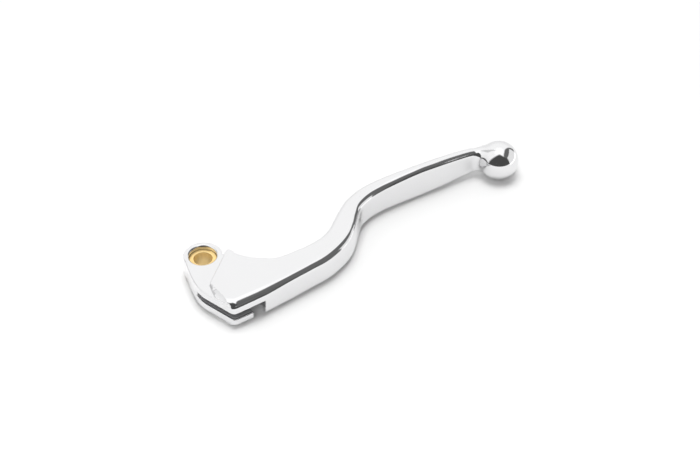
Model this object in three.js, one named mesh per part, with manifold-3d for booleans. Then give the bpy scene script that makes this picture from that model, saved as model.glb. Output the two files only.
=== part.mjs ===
// Clutch lever of a motorcycle: a one-piece aluminium lever with a ball end, and the plain
// bronze bush in its pivot eye. Millimetres, +Z up.
//
// The origin is on the pivot axis, at the middle of the lever's thickness. +X points to the ball
// end and +Y towards the handlebar, so the fingers pull on the side that faces -Y. The lever is
// the same above and below its middle plane, apart from the cable end's socket.
import * as THREE from 'three';
import { ConvexGeometry } from 'three/addons/geometries/ConvexGeometry.js';
import { mergeVertices } from 'three/addons/utils/BufferGeometryUtils.js';
import Module from 'manifold-3d';

const wasm = await Module();
wasm.setup();

// ---- driving dimensions -------------------------------------------------------------------
const PIVOT_TO_BALL = 150; // pivot axis to ball centre
const BALL_RADIUS = 9.2;

const EYE_RADIUS = 8.5; // outside of the pivot eye
const EYE_THICKNESS = 10; // eye and cable ears, between the cheeks of the perch
const EYE_CHAMFER = 0.6; // broken edge round the mouth of the eye's bore
const EYE_EDGE = 0.5; // rounding of the plate's outer edge

const BUSH_OUTER_RADIUS = 6;
const BUSH_INNER_RADIUS = 4.1;
const BUSH_LENGTH = 8;
const BUSH_CHAMFER = 0.35;
const RUNNING_CLEARANCE = 0.05; // on the radius, between bush and eye

const PAD_HALF = 7.3; // half thickness of the raised pad beside the eye
const PAD_EDGE = 1.2; // rounding of the pad's outer edge
const WALL_REAR = new THREE.Vector2(-5.3, -19.5); // the pad's left wall runs between these two
const WALL_FRONT = new THREE.Vector2(-3, -36);

const SLOT_HEIGHT = 3.2; // gap between the two ears, for the inner cable
const SLOT_REAR = -14.8; // the gap starts here on the left edge
const NIPPLE = new THREE.Vector2(10, -31); // axis of the cable end's socket
const NIPPLE_RADIUS = 4.25;
const NIPPLE_ROOF = 4.4; // the socket is blind here, above the middle plane
const SLIT_LEFT = 6.8; // the lower ear is open between these two, so the cable can be hooked in
const SLIT_RIGHT = 12.6;

const BLADE_SIDES = 32; // facets round the blade
const BLADE_STATIONS = 64; // steps along the blade
const ROUND_FACETS = 96; // facets of the bush and its bore
const BEYOND = 20; // how far a cutting body runs past what it cuts

// The blade, from the pad to the inside of the ball: each station has the plan position of its
// front (finger) face and of its back, its half height, and the radius of its long edges.
const BLADE = [
  { front: [14, -35.1], back: [13.6, -9.8], half: 7.3, edge: 1.4 },
  { front: [26, -33.5], back: [25.5, -17.8], half: 7.2, edge: 2 },
  { front: [38, -31.3], back: [36.5, -17.5], half: 7.1, edge: 3.3 },
  { front: [47.5, -29.3], back: [44.9, -16.2], half: 7.15, edge: 3.5 },
  { front: [56.5, -25.2], back: [51.3, -14], half: 7.2, edge: 3.6 },
  { front: [62.5, -20.9], back: [55.2, -11.6], half: 7.25, edge: 3.6 },
  { front: [67, -15.9], back: [59.1, -8], half: 7.3, edge: 3.6 },
  { front: [71, -10.6], back: [63.7, -3.7], half: 7.35, edge: 3.6 },
  { front: [75.5, -5.6], back: [69.7, 1.2], half: 7.45, edge: 3.5 },
  { front: [82, -2.1], back: [78.3, 5.3], half: 7.6, edge: 3.3 },
  { front: [90, -0.1], back: [88.4, 7.3], half: 7.75, edge: 3.2 },
  { front: [99, 1], back: [98, 7.7], half: 8.1, edge: 3.1 },
  { front: [110, 1.9], back: [109.5, 7.8], half: 8.35, edge: 2.9 },
  { front: [121, 2.4], back: [121, 8.3], half: 7.95, edge: 2.9 },
  { front: [131, 3.1], back: [131, 8.8], half: 7.1, edge: 2.8 },
  { front: [138.5, 3.2], back: [138.5, 8.7], half: 6.5, edge: 2.7 },
  { front: [146, 1.9], back: [146, 7.9], half: 4.9, edge: 2.7 },
];

// ---- solids -------------------------------------------------------------------------------
function toSolid(geometry) {
  const bare = geometry.clone();
  bare.deleteAttribute('normal');
  bare.deleteAttribute('uv');
  const merged = mergeVertices(bare, 1e-5);
  return new wasm.Manifold(new wasm.Mesh({
    numProp: 3,
    vertProperties: new Float32Array(merged.attributes.position.array),
    triVerts: new Uint32Array(merged.index.array),
  }));
}

function toGeometry(solid) {
  const mesh = solid.getMesh();
  const geometry = new THREE.BufferGeometry();
  geometry.setAttribute('position', new THREE.BufferAttribute(mesh.vertProperties, 3));
  geometry.setIndex(new THREE.BufferAttribute(mesh.triVerts, 1));
  geometry.computeVertexNormals();
  return geometry;
}

// An outline in plan, raised from `bottom` to `top`, with its edges rounded by `edge`.
function plate(shape, bottom, top, edge = 0) {
  const geometry = new THREE.ExtrudeGeometry(shape, {
    depth: top - bottom - 2 * edge,
    bevelEnabled: edge > 0,
    bevelThickness: edge,
    bevelSize: edge,
    bevelOffset: -edge,
    bevelSegments: 3,
    curveSegments: 12,
  });
  geometry.translate(0, 0, bottom + edge);
  return toSolid(geometry);
}

// A body turned round the Z axis, from [radius, height] points that close on themselves.
function turned(profile) {
  const points = profile.map(([radius, height]) => new THREE.Vector2(radius, height));
  points.push(points[0].clone());
  const geometry = new THREE.LatheGeometry(points, ROUND_FACETS);
  geometry.rotateX(Math.PI / 2);
  return toSolid(geometry);
}

function cylinder(radius, bottom, top, facets) {
  const geometry = new THREE.CylinderGeometry(radius, radius, top - bottom, facets);
  geometry.rotateX(Math.PI / 2);
  geometry.translate(0, 0, (top + bottom) / 2);
  return toSolid(geometry);
}

// ---- the blade ----------------------------------------------------------------------------
// A smooth curve through one value of every station, read at t = 0..1 along the blade.
function track(read) {
  const points = BLADE.map((station) => new THREE.Vector3(...read(station)));
  const curve = new THREE.CatmullRomCurve3(points, false, 'centripetal');
  return (t) => curve.getPoint(t);
}

// A closed unit tube is pushed out to the rounded section at each station.
function blade() {
  const front = track((station) => [...station.front, 0]);
  const back = track((station) => [...station.back, 0]);
  const size = track((station) => [station.half, station.edge, 0]);
  const tube = new THREE.CylinderGeometry(1, 1, 1, BLADE_SIDES, BLADE_STATIONS);
  tube.rotateY(Math.PI / BLADE_SIDES);
  const place = tube.attributes.position;
  for (let i = 0; i < place.count; i += 1) {
    const across = -place.getX(i);
    const up = place.getZ(i);
    const t = place.getY(i) + 0.5;
    const from = front(t);
    const to = back(t);
    const { x: half, y: edge } = size(t);
    const middle = from.clone().lerp(to, 0.5);
    const inward = to.clone().sub(from);
    const depth = inward.length();
    inward.normalize();
    const w = Math.sign(across) * (depth / 2 - edge) + edge * across;
    const z = Math.sign(up) * (half - edge) + edge * up;
    const isCapCentre = Math.hypot(across, up) < 0.5;
    const spot = isCapCentre ? middle : middle.addScaledVector(inward, w);
    place.setXYZ(i, spot.x, spot.y, isCapCentre ? 0 : z);
  }
  return toSolid(tube);
}

// ---- the pad, the eye and the cable ears --------------------------------------------------
// The raised pad: its shoulder beside the eye is what stops the lever against the perch.
function padShape() {
  const shape = new THREE.Shape();
  shape.moveTo(10, -3.4);
  shape.lineTo(WALL_REAR.x, WALL_REAR.y);
  shape.lineTo(-3.3, -34);
  shape.lineTo(-1.5, -36.1);
  shape.lineTo(14, -35.1);
  shape.lineTo(24, -33.8);
  shape.lineTo(24, -17.4);
  shape.quadraticCurveTo(13.6, -15.4, 11.8, -4.6);
  shape.closePath();
  return shape;
}

// The thinner plate that carries the pivot eye and runs forward into the cable ears.
function earShape() {
  const shape = new THREE.Shape();
  shape.absarc(0, 0, EYE_RADIUS, -0.35, Math.PI + 0.06, false);
  shape.bezierCurveTo(-9.9, -8, -11.6, -17, -9.2, -22.8);
  shape.lineTo(-3.8, -35.3);
  shape.quadraticCurveTo(-2.7, -37.7, 0, -37.4);
  shape.lineTo(14, -35.9);
  shape.lineTo(35, -31.9);
  shape.lineTo(33, -22);
  shape.lineTo(25, -20);
  shape.lineTo(13, -14);
  shape.closePath();
  return shape;
}

// The left wall of the pad is hollowed: its foot flares out over the ears, most at the middle.
// Each place along the wall has its share of the wall's length and the reach of its foot.
function hollowedWall() {
  const feet = [[0, 0.2], [0.39, 2.6], [0.64, 2.8], [0.97, 0.3]];
  const levels = [[1, EYE_THICKNESS / 2], [0.4, 6], [0, 7]];
  const rows = levels.map(([share, height]) => {
    const row = feet.map(([along, reach]) => {
      const spot = WALL_REAR.clone().lerp(WALL_FRONT, along);
      return new THREE.Vector3(spot.x - reach * share, spot.y, height);
    });
    return [...row, new THREE.Vector3(2, -20, height), new THREE.Vector3(2, -35, height)];
  });
  const both = rows.map((row) => [...row, ...row.map((spot) => spot.clone().setZ(-spot.z))]);
  const lower = toSolid(new ConvexGeometry([...both[0], ...both[1]]));
  const upper = toSolid(new ConvexGeometry([...both[1], ...both[2]]));
  return lower.add(upper).intersect(plate(earShape(), -PAD_HALF, PAD_HALF));
}

// The gap between the ears: it opens on the left and front edges and ends at the socket.
function slotShape() {
  const shape = new THREE.Shape();
  shape.moveTo(-11, SLOT_REAR);
  shape.lineTo(NIPPLE.x + 1.5, NIPPLE.y + 4);
  shape.lineTo(SLIT_RIGHT, NIPPLE.y + 2);
  shape.lineTo(SLIT_RIGHT, NIPPLE.y - BEYOND);
  shape.lineTo(-BEYOND, NIPPLE.y - BEYOND);
  shape.lineTo(-BEYOND, SLOT_REAR);
  shape.closePath();
  return shape;
}

function slitShape() {
  const shape = new THREE.Shape();
  shape.moveTo(SLIT_LEFT, NIPPLE.y);
  shape.lineTo(SLIT_LEFT, NIPPLE.y - BEYOND);
  shape.lineTo(SLIT_RIGHT, NIPPLE.y - BEYOND);
  shape.lineTo(SLIT_RIGHT, NIPPLE.y);
  shape.closePath();
  return shape;
}

function ball() {
  const geometry = new THREE.SphereGeometry(BALL_RADIUS, 40, 24);
  geometry.rotateX(Math.PI / 2);
  geometry.translate(PIVOT_TO_BALL, 0, 0);
  return toSolid(geometry);
}

// The eye's bore, with its edge broken at both faces.
function eyeBore() {
  const radius = BUSH_OUTER_RADIUS + RUNNING_CLEARANCE;
  const face = EYE_THICKNESS / 2;
  const chamferTop = face + EYE_CHAMFER + BEYOND;
  const bore = cylinder(radius, -chamferTop, chamferTop, ROUND_FACETS);
  const wide = radius + 2 * EYE_CHAMFER;
  const funnel = turned([
    [0, face - EYE_CHAMFER], [radius, face - EYE_CHAMFER], [wide, face + EYE_CHAMFER],
    [wide, chamferTop], [0, chamferTop],
  ]);
  return bore.add(funnel).add(funnel.rotate([180, 0, 0]));
}

function lever() {
  const face = EYE_THICKNESS / 2;
  const gap = SLOT_HEIGHT / 2;
  const socket = cylinder(NIPPLE_RADIUS, -BEYOND, NIPPLE_ROOF, 48).translate([NIPPLE.x, NIPPLE.y, 0]);
  return plate(earShape(), -face, face, EYE_EDGE)
    .add(plate(padShape(), -PAD_HALF, PAD_HALF, PAD_EDGE))
    .add(hollowedWall())
    .add(blade())
    .add(ball())
    .subtract(plate(slotShape(), -gap, gap))
    .subtract(plate(slitShape(), -BEYOND, gap))
    .subtract(socket)
    .subtract(eyeBore());
}

// ---- the bush -----------------------------------------------------------------------------
// It stands level with the eye's lower face and ends short of the upper one.
function bush() {
  const bottom = -EYE_THICKNESS / 2;
  const top = bottom + BUSH_LENGTH;
  const outer = BUSH_OUTER_RADIUS;
  const inner = BUSH_INNER_RADIUS;
  const c = BUSH_CHAMFER;
  return turned([
    [inner, bottom + c], [inner + c, bottom], [outer - c, bottom], [outer, bottom + c],
    [outer, top - c], [outer - c, top], [inner + c, top], [inner, top - c],
  ]);
}

// ---- the assembly -------------------------------------------------------------------------
const polishedAluminium = new THREE.MeshStandardMaterial({
  color: 0xe9eaea,
  roughness: 0.14,
  metalness: 1,
});
const bronze = new THREE.MeshStandardMaterial({
  color: 0xd9a550,
  roughness: 0.3,
  metalness: 1,
});

function piece(name, solid, material) {
  const mesh = new THREE.Mesh(toGeometry(solid), material);
  mesh.name = name;
  return mesh;
}

const clutchLever = new THREE.Group();
clutchLever.add(piece('lever', lever(), polishedAluminium));
clutchLever.add(piece('pivot_bush', bush(), bronze));

export default clutchLever;
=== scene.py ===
import math

import bpy
import numpy as np
from mathutils import Matrix, Vector


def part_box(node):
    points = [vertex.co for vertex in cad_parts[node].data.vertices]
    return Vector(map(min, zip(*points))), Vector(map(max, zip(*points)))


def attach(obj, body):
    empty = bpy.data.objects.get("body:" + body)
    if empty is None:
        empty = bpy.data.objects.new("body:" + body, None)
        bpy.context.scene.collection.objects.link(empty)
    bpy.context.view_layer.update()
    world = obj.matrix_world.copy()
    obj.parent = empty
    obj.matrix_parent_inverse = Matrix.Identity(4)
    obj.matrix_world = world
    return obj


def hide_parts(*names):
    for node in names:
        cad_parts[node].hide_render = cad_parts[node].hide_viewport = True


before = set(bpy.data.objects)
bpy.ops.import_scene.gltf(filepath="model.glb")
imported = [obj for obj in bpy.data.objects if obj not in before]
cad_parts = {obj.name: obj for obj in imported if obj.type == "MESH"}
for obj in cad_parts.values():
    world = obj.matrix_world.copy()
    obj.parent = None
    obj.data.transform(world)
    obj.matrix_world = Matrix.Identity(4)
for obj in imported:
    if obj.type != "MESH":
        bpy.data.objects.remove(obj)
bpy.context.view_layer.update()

# A clutch lever of polished aluminium, with a bronze bush in its pivot eye. Shapes are worked out
# in millimetres in the frame of the CAD model, and MM turns them into metres.
MM = 0.001

# ---- sizes, from the frame where it holds them ----------------------------------------------
lever_low, lever_high = (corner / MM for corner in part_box("lever"))
bush_low, bush_high = (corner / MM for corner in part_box("pivot_bush"))
BALL_RADIUS = lever_high.z
PIVOT_TO_BALL = lever_high.x - BALL_RADIUS
EYE_RADIUS = 8.5
PLATE_HALF = -bush_low.z  # the bush ends level with the eye's lower face
PLATE_EDGE = 0.7  # rounding of the plate's outer edge
BUSH_RADIUS = bush_high.x
BUSH_BORE = 4.1
BUSH_EDGE = 0.35
RUNNING_CLEARANCE = 0.05
EYE_BORE = BUSH_RADIUS + RUNNING_CLEARANCE
EYE_CHAMFER = 0.6
PAD_HALF = 7.3
SLOT_HALF = 1.6
NIPPLE = (10.0, -31.0)  # axis of the cable end's socket
NIPPLE_RADIUS = 4.25
NIPPLE_ROOF = 4.4
SLIT = (6.8, 12.6)  # the lower ear is open between these two
BOX_GAP = 0.01  # kept between the lever and the sides of the CAD model's box

# The blade's stations: its front face and its back in plan, its half height, and the radius of
# its front edges. They follow the CAD model's, with the pad's front rounded as on the real lever.
# The first two carry the pad's walls on to the left.
STATIONS = [
    ((-14, -38.6), (8, 6), 7.3, 4.5),
    ((0, -37.3), (11.2, -4.2), 7.3, 4.5),
    ((14, -35.75), (13.6, -9.8), 7.3, 4.1),
    ((26, -33.6), (25.5, -17.8), 7.2, 3.4),
    ((38, -31.3), (36.5, -17.5), 7.1, 3.3),
    ((47.5, -29.3), (44.9, -16.2), 7.15, 3.5),
    ((56.5, -25.2), (51.3, -14), 7.2, 3.6),
    ((62.5, -20.9), (55.2, -11.6), 7.25, 3.6),
    ((67, -15.9), (59.1, -8), 7.3, 3.6),
    ((71, -10.6), (63.7, -3.7), 7.35, 3.6),
    ((75.5, -5.6), (69.7, 1.2), 7.45, 3.5),
    ((82, -2.1), (78.3, 5.3), 7.6, 3.3),
    ((90, -0.1), (88.4, 7.3), 7.75, 3.2),
    ((99, 1), (98, 7.7), 8.1, 3.1),
    ((110, 1.9), (109.5, 7.8), 8.35, 2.9),
    ((121, 2.4), (121, 8.3), 7.95, 2.9),
    ((131, 3.1), (131, 8.8), 7.1, 2.8),
    ((138.5, 3.2), (138.5, 8.7), 6.5, 2.7),
    ((146, 1.9), (146, 7.9), 4.9, 2.7),
]
BLADE_END = 146.0  # inside the ball

# Radius of the edges at the back, along x: small on the pad and larger along the blade.
REAR_EDGE_X = (14, 45)
REAR_EDGE = (0.8, 2.7)

# The pad's left wall, from the eye forward, and the line that takes off its front left corner.
# The wall is hollowed: it flares out over the ears, by the most at the middle of its length.
SHOULDER = [(10.0, -3.4), (-5.3, -19.5), (-3.0, -36.0)]
CORNER = [(-2.6, -37.0), (-3.4, -36.42)]
SCOOP_Y = (-36, -30, -26, -19.5)
SCOOP_WIDTH = (0.3, 2.8, 2.6, 0.2)
SCOOP_POWER = 1.6
SCOOP_STEEPNESS = 0.7  # brings the scoop's height down to about a true distance
SCOOP_OVERLAP = 0.8  # how far it runs in under the pad
SCOOP_END = 0.3  # how far it stops short of the eye side

# Fillets between the solids, and the rounding of the edges that the cutters left.
PAD_CORNER_ROUNDING = 1.0
PAD_REAR_ROUNDING = 2.0
EAR_FILLET = 0.8
BALL_FILLET = 4.0
SLOT_EDGE = 0.2
CUT_EDGE = 0.35


# ---- plan curves ----------------------------------------------------------------------------
def spline(points, per_span=24):
    """A smooth curve through the points (centripetal Catmull-Rom), as a dense polyline."""
    pts = [np.array(p, float) for p in points]
    pts = [2 * pts[0] - pts[1]] + pts + [2 * pts[-1] - pts[-2]]
    out = []
    for a, b, c, d in zip(pts, pts[1:], pts[2:], pts[3:]):
        t1 = np.linalg.norm(b - a) ** 0.5
        t2 = t1 + np.linalg.norm(c - b) ** 0.5
        t3 = t2 + np.linalg.norm(d - c) ** 0.5
        t = np.linspace(t1, t2, per_span, endpoint=False)[:, None]
        ab = a + (b - a) * t / t1
        bc = b + (c - b) * (t - t1) / (t2 - t1)
        cd = c + (d - c) * (t - t2) / (t3 - t2)
        abc = ab + (bc - ab) * t / t2
        bcd = bc + (cd - bc) * (t - t1) / (t3 - t1)
        out.append(abc + (bcd - abc) * (t - t1) / (t2 - t1))
    return np.vstack(out + [pts[-2][None, :]])


class Curve:
    """A plan curve with a signed distance, positive on its left as it runs."""

    def __init__(self, points):
        self.points = spline(points)
        steps = np.linalg.norm(np.diff(self.points, axis=0), axis=1)
        self.along = np.concatenate([[0], np.cumsum(steps)])
        tangent = np.gradient(self.points, self.along, axis=0)
        self.tangent = tangent / np.linalg.norm(tangent, axis=1)[:, None]

    def at(self, s, table):
        return np.stack([np.interp(s, self.along, table[:, i]) for i in (0, 1)], -1)

    def distance(self, x, y):
        p = np.stack([x, y], -1)
        nearest = np.full(x.shape, np.inf)
        s = np.zeros(x.shape)
        for i in range(0, len(self.points), 6):
            gap = (x - self.points[i, 0]) ** 2 + (y - self.points[i, 1]) ** 2
            closer = gap < nearest
            nearest = np.where(closer, gap, nearest)
            s = np.where(closer, self.along[i], s)
        for _ in range(4):
            s = s + ((p - self.at(s, self.points)) * self.at(s, self.tangent)).sum(-1)
            s = np.clip(s, 0, self.along[-1])
        gap = p - self.at(s, self.points)
        tangent = self.at(s, self.tangent)
        return tangent[..., 0] * gap[..., 1] - tangent[..., 1] * gap[..., 0]


FRONT = Curve([station[0] for station in STATIONS])
BACK = Curve([station[1] for station in STATIONS])
MIDDLE_X = [(station[0][0] + station[1][0]) / 2 for station in STATIONS]


def along_blade(x, column):
    """A size of the stations, read smoothly at x."""
    fine = np.linspace(MIDDLE_X[0], MIDDLE_X[-1], 400)
    values = np.interp(fine, MIDDLE_X, [station[column] for station in STATIONS])
    kernel = np.hanning(27)
    padded = np.pad(values, 13, mode="edge")
    return np.interp(x, fine, np.convolve(padded, kernel / kernel.sum(), mode="valid"))


def half_plane(x, y, a, b):
    """Signed distance to the line a-b, positive on its left."""
    (ax, ay), (bx, by) = a, b
    length = math.hypot(bx - ax, by - ay)
    return ((bx - ax) * (y - ay) - (by - ay) * (x - ax)) / length


def polygon(x, y, corners):
    """Signed distance to a closed outline, negative inside."""
    gap = np.full(x.shape, np.inf)
    inside = np.zeros(x.shape, bool)
    for (ax, ay), (bx, by) in zip(corners, corners[1:] + corners[:1]):
        dx, dy = bx - ax, by - ay
        t = np.clip(((x - ax) * dx + (y - ay) * dy) / (dx * dx + dy * dy), 0, 1)
        gap = np.minimum(gap, (x - ax - t * dx) ** 2 + (y - ay - t * dy) ** 2)
        crosses = (ay > y) != (by > y)
        edge_x = ax + (y - ay) * dx / np.where(dy == 0, 1e-9, dy)
        inside ^= crosses & (x < edge_x)
    return np.where(inside, -1, 1) * np.sqrt(gap)


def arc(centre, radius, start, end, steps):
    angles = np.radians(np.linspace(start, end, steps))
    return [(centre[0] + radius * math.cos(a), centre[1] + radius * math.sin(a)) for a in angles]


def bezier(a, b, c, d, steps):
    """Points on a cubic curve, without its ends."""
    t = np.linspace(0, 1, steps + 2)[1:-1, None]
    a, b, c, d = (np.array(p, float) for p in (a, b, c, d))
    points = a * (1 - t) ** 3 + 3 * b * t * (1 - t) ** 2 + 3 * c * t * t * (1 - t) + d * t ** 3
    return [tuple(p) for p in points]


def ear_outline():
    """The plate with the pivot eye and the cable ears."""
    eye = arc((0, 0), EYE_RADIUS, -20, 183, 60)
    left = bezier(eye[-1], (-9.9, -8), (-11.6, -17), (-9.2, -22.8), 24)
    corner = bezier((-3.8, -35.3), (-3.1, -36.8), (-1.8, -37.35), (0, -37.1), 10)
    return eye + left + [(-9.2, -22.8), (-3.8, -35.3)] + corner + [
        (0, -37.1), (14, -35.5), (32, -31.6), (33, -22), (25, -20), (13, -14)]


SLOT_OUTLINE = [
    (-11, -14.8), (NIPPLE[0] + 1.5, NIPPLE[1] + 4), (SLIT[1], NIPPLE[1] + 2),
    (SLIT[1], -60), (-60, -60), (-60, -14.8)]
EAR_OUTLINE = ear_outline()


# ---- blending of solids ---------------------------------------------------------------------
def join(a, b, radius):
    """The union of two fields, with a fillet of about that radius between them."""
    reach = np.maximum(radius - np.abs(a - b), 0) / radius
    return np.minimum(a, b) - reach * reach * radius / 4


def overlap(a, b, radius):
    return -join(-a, -b, radius)


def raised(plan, z, half, edge):
    """A plan outline raised to a plate whose long edges have that radius."""
    across = plan + edge
    up = np.abs(z) - (half - edge)
    outside = np.sqrt(np.maximum(across, 0) ** 2 + np.maximum(up, 0) ** 2)
    return np.minimum(np.maximum(across, up), 0) + outside - edge


# ---- the lever as one field -----------------------------------------------------------------
def plan_of(x, y):
    """Everything about a point that doesn't depend on its height."""
    front = overlap(-FRONT.distance(x, y), half_plane(x, y, *CORNER), PAD_CORNER_ROUNDING)
    back = BACK.distance(x, y)
    eye_side = half_plane(x, y, SHOULDER[1], SHOULDER[0])
    ear_side = half_plane(x, y, SHOULDER[2], SHOULDER[1])
    shoulder = np.maximum(eye_side, ear_side)
    slope = 1 - np.clip(ear_side / np.interp(y, SCOOP_Y, SCOOP_WIDTH), 0, 1)
    scoop_strip = np.maximum(eye_side + SCOOP_END, -ear_side - SCOOP_OVERLAP)
    ear = polygon(x, y, EAR_OUTLINE)
    return {
        "x": x, "y": y,
        "front": front,
        "rear": overlap(np.maximum(back, x - BLADE_END), shoulder, PAD_REAR_ROUNDING),
        "half": along_blade(x, 2),
        "edge": along_blade(x, 3),
        "rear_edge": np.interp(x, REAR_EDGE_X, REAR_EDGE),
        "ear": ear,
        "scoop": np.maximum(ear + PLATE_EDGE, scoop_strip),
        "scoop_top": PLATE_HALF + (PAD_HALF - PLATE_HALF) * slope ** SCOOP_POWER,
        "slot": polygon(x, y, SLOT_OUTLINE),
    }


def lever_field(plan, z, cuts=True):
    """Signed distance to the lever, negative inside, with or without slot, socket and bore."""
    x, y = plan["x"], plan["y"]
    front = raised(plan["front"], z, plan["half"], plan["edge"])
    body = np.maximum(front, raised(plan["rear"], z, plan["half"], plan["rear_edge"]))
    ears = raised(plan["ear"], z, PLATE_HALF, PLATE_EDGE)
    ball = np.sqrt((x - PIVOT_TO_BALL) ** 2 + y ** 2 + z ** 2) - BALL_RADIUS
    scoop = np.maximum(plan["scoop"], (np.abs(z) - plan["scoop_top"]) * SCOOP_STEEPNESS)
    scoop = np.maximum(scoop, front)
    solid = join(np.minimum(join(body, ears, EAR_FILLET), scoop), ball, BALL_FILLET)
    box_sides = np.maximum(np.maximum(lever_low.y - y, y - lever_high.y), lever_low.x - x)
    solid = np.maximum(solid, box_sides + BOX_GAP)
    if not cuts:
        return solid
    slot = overlap(plan["slot"], np.abs(z) - SLOT_HALF, SLOT_EDGE)
    slit = np.maximum(np.maximum(SLIT[0] - x, x - SLIT[1]), np.maximum(y - NIPPLE[1], z - SLOT_HALF))
    socket = np.maximum(np.hypot(x - NIPPLE[0], y - NIPPLE[1]) - NIPPLE_RADIUS, z - NIPPLE_ROOF)
    flare = np.maximum(np.abs(z) - (PLATE_HALF - EYE_CHAMFER), 0)
    bore = np.hypot(x, y) - EYE_BORE - flare
    for cut in (slot, slit, socket, bore):
        solid = overlap(solid, -cut, CUT_EDGE)
    return solid


# ---- from field to mesh ---------------------------------------------------------------------
def surface_net(values, low, step):
    """One vertex in every cell that the surface passes through, joined by quads."""
    inside = values < 0
    cells = tuple(n - 1 for n in values.shape)
    total = np.zeros((3, int(np.prod(cells))))
    count = np.zeros(int(np.prod(cells)))
    quads = []
    for axis in range(3):
        first = [slice(None)] * 3
        second = [slice(None)] * 3
        first[axis] = slice(None, -1)
        second[axis] = slice(1, None)
        a, b = values[tuple(first)], values[tuple(second)]
        i, j, k = np.nonzero(inside[tuple(first)] != inside[tuple(second)])
        va, vb = a[i, j, k], b[i, j, k]
        spot = np.stack([i, j, k]).astype(float)
        spot[axis] += va / (va - vb)
        others = [n for n in range(3) if n != axis]
        ring = []
        for du, dv in ((0, 0), (-1, 0), (-1, -1), (0, -1)):
            cell = np.stack([i, j, k])
            cell[others[0]] += du
            cell[others[1]] += dv
            flat = np.ravel_multi_index(cell, cells, mode="clip")
            ring.append(flat)
            count += np.bincount(flat, minlength=count.size)
            for n in range(3):
                total[n] += np.bincount(flat, weights=spot[n], minlength=count.size)
        ring = np.stack(ring, 1)
        flip = (va > 0) ^ (axis == 1)
        ring[flip] = ring[flip][:, ::-1]
        quads.append(ring)
    used = np.nonzero(count)[0]
    number = np.full(count.size, -1)
    number[used] = np.arange(used.size)
    vertices = (total[:, used] / count[used]).T * step + low
    return vertices, number[np.vstack(quads)]


def gradient(points, delta=0.02):
    x, y, z = points.T
    here = plan_of(x, y)
    base = lever_field(here, z)
    slope = np.stack([
        lever_field(plan_of(x + delta, y), z) - base,
        lever_field(plan_of(x, y + delta), z) - base,
        lever_field(here, z + delta) - base], 1) / delta
    return base, slope


def relax(vertices, quads, rounds):
    """Evens out the net along the surface, then drops each vertex back on to it."""
    ends = np.concatenate([quads[:, [0, 1]], quads[:, [1, 2]], quads[:, [2, 3]], quads[:, [3, 0]]])
    n = len(vertices)
    degree = np.bincount(ends[:, 0], minlength=n) + np.bincount(ends[:, 1], minlength=n)
    for _ in range(rounds):
        mean = np.stack([
            np.bincount(ends[:, 0], weights=vertices[ends[:, 1], i], minlength=n)
            + np.bincount(ends[:, 1], weights=vertices[ends[:, 0], i], minlength=n)
            for i in range(3)], 1) / degree[:, None]
        vertices = vertices + 0.5 * (mean - vertices)
        value, slope = gradient(vertices)
        size = np.maximum((slope ** 2).sum(1), 0.25)
        move = (value / size)[:, None] * slope
        vertices = vertices - np.clip(move, -0.3, 0.3)
    return vertices


RECESS_START, RECESS_RUN = 0.4, 1.2  # depths between which the painted shade deepens and the polish fades, in slot and socket


def lever_mesh(step):
    """The lever's vertices, faces and normals, and how far each vertex lies in a recess, which sets
    the painted shade there.
    """
    low = np.array(lever_low) - 1.5 * step
    high = np.array(lever_high) + 1.5 * step
    axes = [np.arange(a, b + step, step) for a, b in zip(low, high)]
    x, y = np.meshgrid(axes[0], axes[1], indexing="ij")
    plan = {key: value[..., None] for key, value in plan_of(x, y).items()}
    values = lever_field(plan, axes[2][None, None, :])
    vertices, quads = surface_net(values, low, step)
    vertices = relax(vertices, quads, 3)
    _, slope = gradient(vertices)
    x, y, z = vertices.T
    depth = -lever_field(plan_of(x, y), z, cuts=False)
    # Share of painted shade: it grows with depth below the uncut surface, in slot and socket, away
    # from the eye's bore.
    recess = np.clip((depth - RECESS_START) / RECESS_RUN, 0, 1) * (np.hypot(x, y) > EYE_BORE + 1)
    return vertices, quads, slope / np.linalg.norm(slope, axis=1)[:, None], recess


def make_object(name, vertices, faces, normals=None, recess=None):
    mesh = bpy.data.meshes.new(name)
    mesh.from_pydata((np.asarray(vertices) * MM).tolist(), [], np.asarray(faces).tolist())
    mesh.update()
    for polygon_face in mesh.polygons:
        polygon_face.use_smooth = True
    if normals is not None:
        mesh.normals_split_custom_set_from_vertices(normals.tolist())
    if recess is not None:
        mesh.attributes.new("recess", "FLOAT", "POINT").data.foreach_set("value", recess)
    piece = bpy.data.objects.new(name, mesh)
    bpy.context.scene.collection.objects.link(piece)
    return piece


def turned_mesh(name, profile, facets=160):
    """A ring turned round the Z axis from a closed [radius, height] outline."""
    turn = np.linspace(0, 2 * math.pi, facets, endpoint=False)
    count = len(profile)
    vertices = [(r * math.cos(a), r * math.sin(a), z) for a in turn for r, z in profile]
    faces = []
    for i in range(facets):
        for j in range(count):
            a, b = i * count, (i + 1) % facets * count
            k = (j + 1) % count
            faces.append((a + j, b + j, b + k, a + k))
    return make_object(name, vertices, faces)


def bush_profile():
    low, high = bush_low.z, bush_high.z
    edge, steps = BUSH_EDGE, 6
    corners = [
        (BUSH_RADIUS - edge, low + edge, -90), (BUSH_RADIUS - edge, high - edge, 0),
        (BUSH_BORE + edge, high - edge, 90), (BUSH_BORE + edge, low + edge, 180)]
    points = []
    for r, z, start in corners:
        points += arc((r, z), edge, start, start + 90, steps)
    return points


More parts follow.
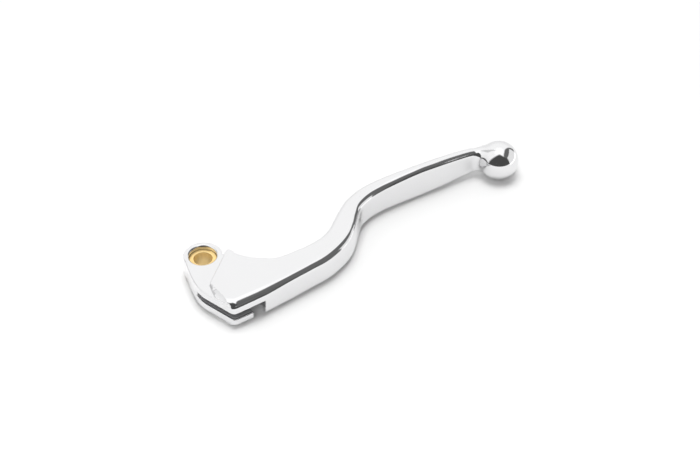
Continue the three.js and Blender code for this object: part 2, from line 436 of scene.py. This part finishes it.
# ---- materials ------------------------------------------------------------------------------
class Nodes:
    """Short ways to build a node tree."""

    def __init__(self, tree, shader):
        self.tree = tree
        self.shader = shader

    def add(self, kind, settings=(), **inputs):
        node = self.tree.nodes.new(kind)
        for key, value in dict(settings).items():
            setattr(node, key, value)
        for key, value in inputs.items():
            self.give(node.inputs[key.replace("_", " ")], value)
        return node

    def give(self, socket, value):
        if isinstance(value, bpy.types.NodeSocket):
            self.tree.links.new(value, socket)
        else:
            socket.default_value = value

    def set(self, socket, value):
        self.give(self.shader.inputs[socket], value)

    def place(self):
        return self.add("ShaderNodeTexCoord").outputs["Object"]

    def scaled(self, vector, scale):
        return self.add("ShaderNodeMapping", Vector=vector, Scale=scale).outputs["Vector"]

    def noise(self, vector, scale, detail=3.0):
        node = self.add("ShaderNodeTexNoise", Vector=vector, Scale=scale, Detail=detail)
        return node.outputs["Fac"]

    def blend(self, share, a, b):
        """The colour a turning into b as the share goes from 0 to 1."""
        node = self.add("ShaderNodeMix", {"data_type": "RGBA"})
        self.give(node.inputs["Factor"], share)
        self.give(node.inputs[6], a)
        self.give(node.inputs[7], b)
        return node.outputs[2]

    def maths(self, operation, a, b=0.0):
        node = self.tree.nodes.new("ShaderNodeMath")
        node.operation = operation
        self.give(node.inputs[0], a)
        self.give(node.inputs[1], b)
        return node.outputs["Value"]

    def dot(self, vector, direction):
        node = self.tree.nodes.new("ShaderNodeVectorMath")
        node.operation = "DOT_PRODUCT"
        self.give(node.inputs[0], vector)
        node.inputs[1].default_value = direction
        return node.outputs["Value"]

    def ranged(self, value, low, high, out_low, out_high):
        """The value carried from one range to another, with soft ends."""
        node = self.add("ShaderNodeMapRange", {"interpolation_type": "SMOOTHSTEP"}, Value=value)
        ends = {"From Min": low, "From Max": high, "To Min": out_low, "To Max": out_high}
        for key, number in ends.items():
            node.inputs[key].default_value = number
        return node.outputs["Result"]

    def bump(self, height, distance, strength=1.0):
        node = self.add("ShaderNodeBump", Height=height, Strength=strength, Distance=distance)
        return node.outputs["Normal"]


def new_material(name):
    material = bpy.data.materials.new(name)
    material.use_nodes = True
    tree = material.node_tree
    return material, Nodes(tree, tree.nodes["Principled BSDF"])


def polished_aluminium():
    """Polished along the blade outside, and duller where the cutters left it, in slot and socket,
    where painted shade also darkens the colour the deeper it lies.
    """
    material, nodes = new_material("polished_aluminium")
    place = nodes.place()
    recess = nodes.add("ShaderNodeAttribute", {"attribute_name": "recess"}).outputs["Fac"]
    cloud = nodes.noise(place, 70.0)
    hairlines = nodes.noise(nodes.scaled(place, (60.0, 900.0, 900.0)), 1.0, 4.0)
    nodes.set("Metallic", nodes.ranged(recess, 0, 1, 1.0, 0.4))
    unshaded_tone = nodes.blend(cloud, (0.765, 0.765, 0.772, 1), (0.795, 0.795, 0.80, 1))
    # Painted shade: the colour darkens to a dark grey the deeper the point lies in slot and socket.
    nodes.set("Base Color", nodes.blend(recess, unshaded_tone, (0.30, 0.30, 0.31, 1)))
    polish = nodes.ranged(cloud, 0.3, 0.7, 0.05, 0.09)
    grain = nodes.ranged(hairlines, 0.35, 0.65, 0.0, 0.035)
    dull = nodes.maths("MULTIPLY", recess, 0.35)
    nodes.set("Roughness", nodes.maths("ADD", nodes.maths("ADD", polish, grain), dull))
    nodes.set("Normal", nodes.bump(hairlines, 0.000004))
    return material


def bronze():
    """Sintered bronze with fine pores, and painted light: the bore's wall is given a paler gold than
    the faces.
    """
    material, nodes = new_material("bronze")
    place = nodes.place()
    pores = nodes.noise(place, 1400.0, 5.0)
    cloud = nodes.noise(place, 300.0)
    flat = nodes.scaled(place, (1.0, 1.0, 0.0))
    radius = nodes.add("ShaderNodeVectorMath", {"operation": "LENGTH"}, Vector=flat).outputs["Value"]
    # Painted light: the wall of the bore is coloured a paler gold than the faces, as if lit.
    inside = nodes.ranged(radius, (BUSH_BORE + 0.1) * MM, (BUSH_BORE + 0.4) * MM, 1, 0)
    face = nodes.blend(cloud, (0.86, 0.60, 0.24, 1), (0.95, 0.70, 0.32, 1))
    nodes.set("Metallic", 0.75)
    nodes.set("Base Color", nodes.blend(inside, face, (1.0, 0.80, 0.42, 1)))
    nodes.set("Roughness", nodes.ranged(cloud, 0.3, 0.7, 0.30, 0.42))
    nodes.set("Normal", nodes.bump(pores, 0.00001))
    return material


def pale_paper():
    material, nodes = new_material("pale_floor")
    nodes.set("Base Color", (0.65, 0.65, 0.65, 1))
    nodes.set("Roughness", 0.9)
    nodes.set("Specular IOR Level", 0.0)
    return material


# ---- the object -----------------------------------------------------------------------------
NET_STEP = 0.4
lever = make_object("lever_body", *lever_mesh(NET_STEP))
lever.data.materials.append(polished_aluminium())
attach(lever, "lever")
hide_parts("lever")

bush = turned_mesh("bush_ring", bush_profile())
bush.data.materials.append(bronze())
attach(bush, "bush")
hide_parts("pivot_bush")


# ---- the studio -----------------------------------------------------------------------------
# The lever rests on its ball and on the pad, so the floor is tilted by a little in its frame.
PAD_REST_X = -4.0
LEAN = math.asin((BALL_RADIUS - PAD_HALF) / (PIVOT_TO_BALL - PAD_REST_X))
FLOOR_UP = Vector((math.sin(LEAN), 0, math.cos(LEAN)))


def floor():
    size = 3.0  # metres
    mesh = bpy.data.meshes.new("floor")
    corners = [(-size, -size, 0), (size, -size, 0), (size, size, 0), (-size, size, 0)]
    mesh.from_pydata(corners, [], [(0, 1, 2, 3)])
    mesh.materials.append(pale_paper())
    plane = bpy.data.objects.new("floor", mesh)
    bpy.context.scene.collection.objects.link(plane)
    plane.rotation_mode = "QUATERNION"
    plane.rotation_quaternion = Vector((0, 0, 1)).rotation_difference(FLOOR_UP)
    plane.location = Vector((PIVOT_TO_BALL, 0, 0)) * MM - FLOOR_UP * BALL_RADIUS * MM


# What the metal mirrors: a white studio, with an unlit room beyond the near edge of the table and
# an unlit wall on the right, in front of which a small white card stands by the ball end. Each
# opening is a centre bearing, a half width and a height, in degrees, and how square its outline is.
# Bearings run from the middle of the room to the right.
ROOM = Vector((-0.4555, -0.8902, 0))
RIGHT = FLOOR_UP.cross(ROOM).normalized()
ROOM_OPENING = (0, 63, 71, 2.0)
ROOM_GLOW = 0.08
WALL_OPENING = (85, 52, 63, 3.0)
WALL_GLOW = 0.16
STREAK_OPENING = (-118, 9, 80, 2.0)  # a seam in the tent on the left
STREAK_GLOW = 0.75
OPENING_SOFTNESS = 0.18
HORIZON = 0.98  # the white studio's glow, low down, higher up and overhead
SKY = 1.15
ZENITH = 1.40
CARD_PLACE = Vector((241, -41, 34))
CARD_WIDTH, CARD_HEIGHT = 130, 87
CARD_GLOW = 0.80

# Two soft lights that the metal doesn't mirror: they whiten the floor and draw the lever's shadow.
OVERHEAD_PLACE = Vector((70, 0, 1250))
OVERHEAD_SIZE, OVERHEAD_GLOW = 600, 9.5
FILL_DISTANCE, FILL_RISE = 1200, 0.9
FILL_WIDTH, FILL_HEIGHT, FILL_GLOW = 700, 500, 7

CAMERA_PLACE = Vector((-204.3, -538.9, 520.1))
CAMERA_TARGET = Vector((69.74, -4.28, -8.21))
CAMERA_LENS = 91.34


def camera():
    data = bpy.data.cameras.new("camera")
    data.lens = CAMERA_LENS
    data.sensor_width = 36
    data.clip_start = 0.01
    data.clip_end = 50
    eye = bpy.data.objects.new("camera", data)
    bpy.context.scene.collection.objects.link(eye)
    back = (CAMERA_PLACE - CAMERA_TARGET).normalized()
    right = FLOOR_UP.cross(back).normalized()
    up = back.cross(right)
    rotation = Matrix((right, up, back)).transposed()
    eye.matrix_world = Matrix.Translation(CAMERA_PLACE * MM) @ rotation.to_4x4()
    bpy.context.scene.camera = eye


def studio_world():
    world = bpy.data.worlds.new("studio")
    bpy.context.scene.world = world
    world.use_nodes = True
    nodes = Nodes(world.node_tree, world.node_tree.nodes["Background"])
    direction = nodes.add("ShaderNodeTexCoord").outputs["Generated"]
    bearing = nodes.maths("ARCTAN2", nodes.dot(direction, RIGHT), nodes.dot(direction, ROOM))
    rise = nodes.maths("ARCSINE", nodes.dot(direction, FLOOR_UP))

    def within(opening):
        centre, half_width, height, power = opening
        aside = nodes.maths("SUBTRACT", bearing, math.radians(centre))
        aside = nodes.maths("ABSOLUTE", nodes.maths("DIVIDE", aside, math.radians(half_width)))
        above = nodes.maths("ABSOLUTE", nodes.maths("DIVIDE", rise, math.radians(height)))
        reach = nodes.maths(
            "ADD", nodes.maths("POWER", aside, power), nodes.maths("POWER", above, power))
        return nodes.ranged(reach, 1 - OPENING_SOFTNESS, 1 + OPENING_SOFTNESS, 1, 0)

    level = nodes.ranged(rise, 0, math.radians(40), HORIZON, SKY)
    overhead = nodes.ranged(rise, math.radians(55), math.radians(80), 1, ZENITH / SKY)
    level = nodes.maths("MULTIPLY", level, overhead)
    openings = (
        (STREAK_OPENING, STREAK_GLOW), (WALL_OPENING, WALL_GLOW), (ROOM_OPENING, ROOM_GLOW))
    for opening, glow in openings:
        share = within(opening)
        level = nodes.add("ShaderNodeMix", Factor=share, A=level, B=glow).outputs["Result"]
    nodes.set("Color", (1, 1, 1, 1))
    nodes.set("Strength", level)


def area_light(name, place, across, back, width, height, glow):
    """A flat light of that radiance, which shines away from its back."""
    data = bpy.data.lights.new(name, "AREA")
    data.shape = "RECTANGLE"
    data.size = width * MM
    data.size_y = height * MM
    data.energy = glow * math.pi * width * height * MM ** 2
    lamp = bpy.data.objects.new(name, data)
    bpy.context.scene.collection.objects.link(lamp)
    turn = Matrix((across, back.cross(across), back)).transposed()
    lamp.matrix_world = Matrix.Translation(place * MM) @ turn.to_4x4()
    lamp.visible_camera = False
    return lamp


floor()
camera()
studio_world()
card = area_light("card", CARD_PLACE, -ROOM, RIGHT, CARD_WIDTH, CARD_HEIGHT, CARD_GLOW)
card.visible_diffuse = False
overhead = area_light(
    "overhead", OVERHEAD_PLACE, RIGHT, FLOOR_UP, OVERHEAD_SIZE, OVERHEAD_SIZE, OVERHEAD_GLOW)
overhead.visible_glossy = False
fill_back = (ROOM + FILL_RISE * FLOOR_UP).normalized()
fill = area_light(
    "fill", FILL_DISTANCE * fill_back, RIGHT, fill_back, FILL_WIDTH, FILL_HEIGHT, FILL_GLOW)
fill.visible_glossy = False
bpy.context.scene.view_settings.view_transform = "Standard"
